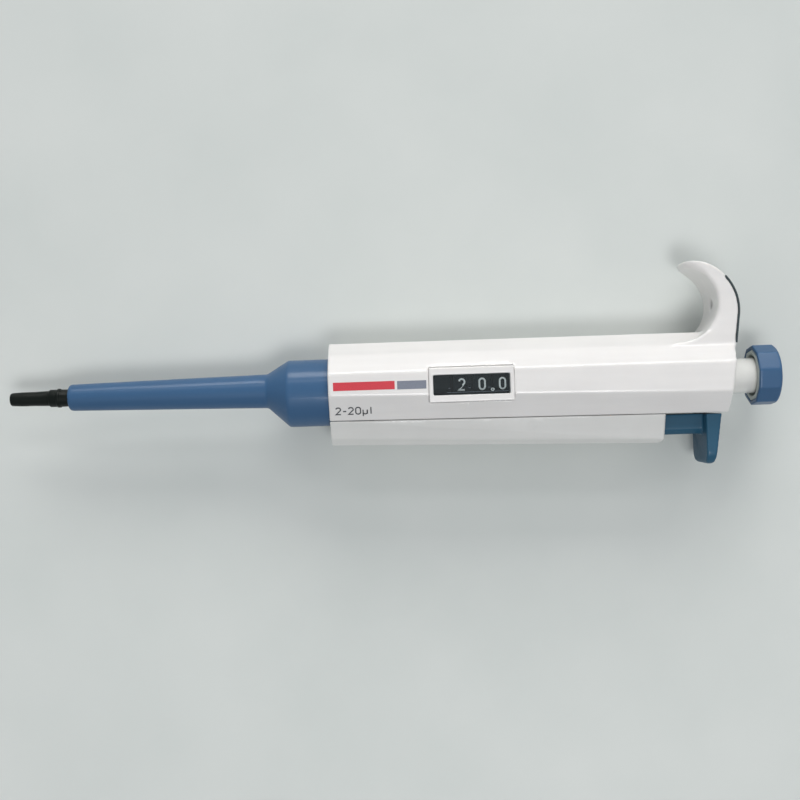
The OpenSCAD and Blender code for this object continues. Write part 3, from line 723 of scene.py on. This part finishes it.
def dropped_on(node):
    """A function that gives the point over (height, side) on a node's upper surface, w off it."""
    cad = welded(frame["nodes"][node].data)
    tree = BVHTree.FromBMesh(cad)
    cad.free()

    def place(height, side, w):
        hit, normal, _, _ = tree.ray_cast(on_axis(height, side, 60), Vector((0, 0, -1)))
        return hit + normal * w * MM
    return place


def bar(centre, length, wide, top, bottom, place, steps=12):
    """A flat bar along the pipette, in short steps so that it follows the surface. centre is
    its height above the nozzle end and its distance from the axis towards the hook."""
    height, side = centre
    points = [(height + length * (i / steps - 0.5), side) for i in range(steps + 1)]
    return stroke(points, wide, top, bottom, place)


def build_printed_marks():
    """Two plain bars and the volume range on the handle, and the mould mark on the cover."""
    body = frame["nodes"]["handle_housing"]["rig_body"]
    handle = dropped_on("handle_housing")
    ink_top, ink_bottom = 0.03, -0.04
    bar_wide = 2.5
    red_bar = bar((110.0, 0.45), 18.4, bar_wide, ink_top, ink_bottom, handle)
    grey_bar = bar((124.3, 0.35), 8.7, bar_wide, ink_top, ink_bottom, handle)
    printed("red_bar", body, RED_INK, [red_bar])
    printed("grey_bar", body, GREY_INK, [grey_bar])

    start, base = 101.1, -7.95
    text = write("2-20ul", 1.72, 2.15, 0.45, 0.36, ink_top, ink_bottom,
                 lambda u, v, w: handle(start + u, base + v, w))
    printed("range_mark", body, DARK_INK, [text])

    mould_ring = stroke(arc(160.5, -13.2, 1.3, 1.2, 0, 360, 32), 0.16, 0.03, -0.03,
                        dropped_on("ejector_cover"))
    printed("mould_mark", body, COVER_WHITE, [mould_ring])


def build_window_marks():
    """The decimal point, the index dashes and the base line, printed under the lens."""
    body = frame["nodes"]["window_lens"]["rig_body"]
    level = (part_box("window_lens")[0].z - AXIS_Z) / MM - 0.05

    def place(height, side, w):
        return on_axis(height, side, level + w)

    point = stroke(arc(148.5, -1.75, 0.42, 0.34, 0, 360, 20), 0.26, 0.02, -0.03, place)
    printed("decimal_point", body, WHITE_INK, [point])
    lines = [((height, -1.1), 0.7, 0.14) for height in (135.5, 141.6, 147.5)]
    lines.append(((144.0, -2.35), 18.5, 0.12))
    dashes = [bar(centre, length, wide, 0.02, -0.02, place, 1) for centre, length, wide in lines]
    printed("index_dashes", body, GREY_INK, dashes)


def build_gap_shade_washer():
    """A dark washer that fills the gap between the blank wheel and the tens wheel: painted shade, so
    that the gap shows dark instead of the brass sleeve behind it.
    """
    low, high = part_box("blank_wheel")[1].x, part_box("tens_wheel")[0].x
    middle = ((low + high) / 2 - TIP_X) / MM
    outer, inner, half, sides = 9.5, 5.2, 0.15, 64
    section = ((outer, half), (outer, -half), (inner, -half), (inner, half))
    rings = []
    for k in range(sides):
        a = 2 * math.pi * k / sides
        rings.append([on_axis(middle + x, radius * math.sin(a), radius * math.cos(a))
                      for radius, x in section])
    mesh = closed_mesh("gap_shade_washer", *swept(rings, closed=True))
    smooth_faces(mesh)
    body = frame["nodes"]["carry_plates"]["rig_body"]
    add_piece("gap_shade_washer", mesh, body, WHEEL)


dress_cad_nodes()
build_shells()
build_springs()
build_counter_marks()
build_printed_marks()
build_window_marks()
build_gap_shade_washer()

# ---------------------------------------------------------------- floor, lights and camera


def build_floor():
    """A pale floor, a hair below the object so that the two never share a surface."""
    half_size, gap = 3.0, 0.05 * MM
    mesh = bpy.data.meshes.new("floor")
    made = bmesh.new()
    bmesh.ops.create_grid(made, x_segments=2, y_segments=2, size=half_size)
    made.to_mesh(mesh)
    made.free()
    floor = bpy.data.objects.new("floor", mesh)
    floor.location.z = CAD_BOX[0].z - gap
    bpy.context.scene.collection.objects.link(floor)
    s = Shader("floor")
    drift = s.ranged(s.noise(0.02, 3), 0.3, 0.7)
    tone = s.blended(drift, linear(203, 208, 205), linear(209, 213, 210))
    s.link(tone, s.surface.inputs["Base Color"])
    s.surface.inputs["Roughness"].default_value = 0.75
    mesh.materials.append(s.material)


def add_light(name, place, target, size, power, colour=(1, 1, 1), spread=180):
    """A rectangular lamp at place that faces target. spread is its beam in degrees."""
    light = bpy.data.lights.new(name, "AREA")
    light.shape = "RECTANGLE"
    light.size, light.size_y = size
    light.energy = power
    light.color = colour
    light.spread = math.radians(spread)
    holder = bpy.data.objects.new(name, light)
    holder.location = place
    aim = Vector(target) - Vector(place)
    holder.rotation_euler = aim.to_track_quat("-Z", "Y").to_euler()
    bpy.context.scene.collection.objects.link(holder)


def build_lights():
    """A broad key from beyond the hook, one from overhead, a strip for the long highlight on
    the round parts, and a pale sky."""
    middle = (0, 0, 0.01)
    add_light("key", (0.06, 1.15, 0.52), middle, (1.2, 0.45), 1.72, (1.0, 0.985, 0.965), 60)
    add_light("overhead", (0.10, -0.30, 0.85), middle, (0.34, 0.24), 2.7)
    add_light("strip", (0.05, 0.66, 0.76), middle, (0.9, 0.12), 0.95)
    world = bpy.data.worlds.new("world")
    bpy.context.scene.world = world
    world.use_nodes = True
    sky = world.node_tree.nodes["Background"]
    sky.inputs["Color"].default_value = (0.93, 0.96, 1.0, 1)
    sky.inputs["Strength"].default_value = 0.41


def build_camera():
    """A camera straight above the object, turned a little about its own view."""
    height, turn = 0.346, math.radians(-1.9)
    camera = bpy.data.cameras.new("camera")
    camera.sensor_width = 36
    camera.lens = 50.1
    camera.clip_start = 0.01
    holder = bpy.data.objects.new("camera", camera)
    aim = on_axis(120.65, -4.07)
    holder.location = (aim.x, aim.y, AXIS_Z + height)
    holder.rotation_euler = (0, 0, turn)
    bpy.context.scene.collection.objects.link(holder)
    bpy.context.scene.camera = holder


build_floor()
build_lights()
build_camera()
bpy.context.scene.view_settings.view_transform = "Standard"
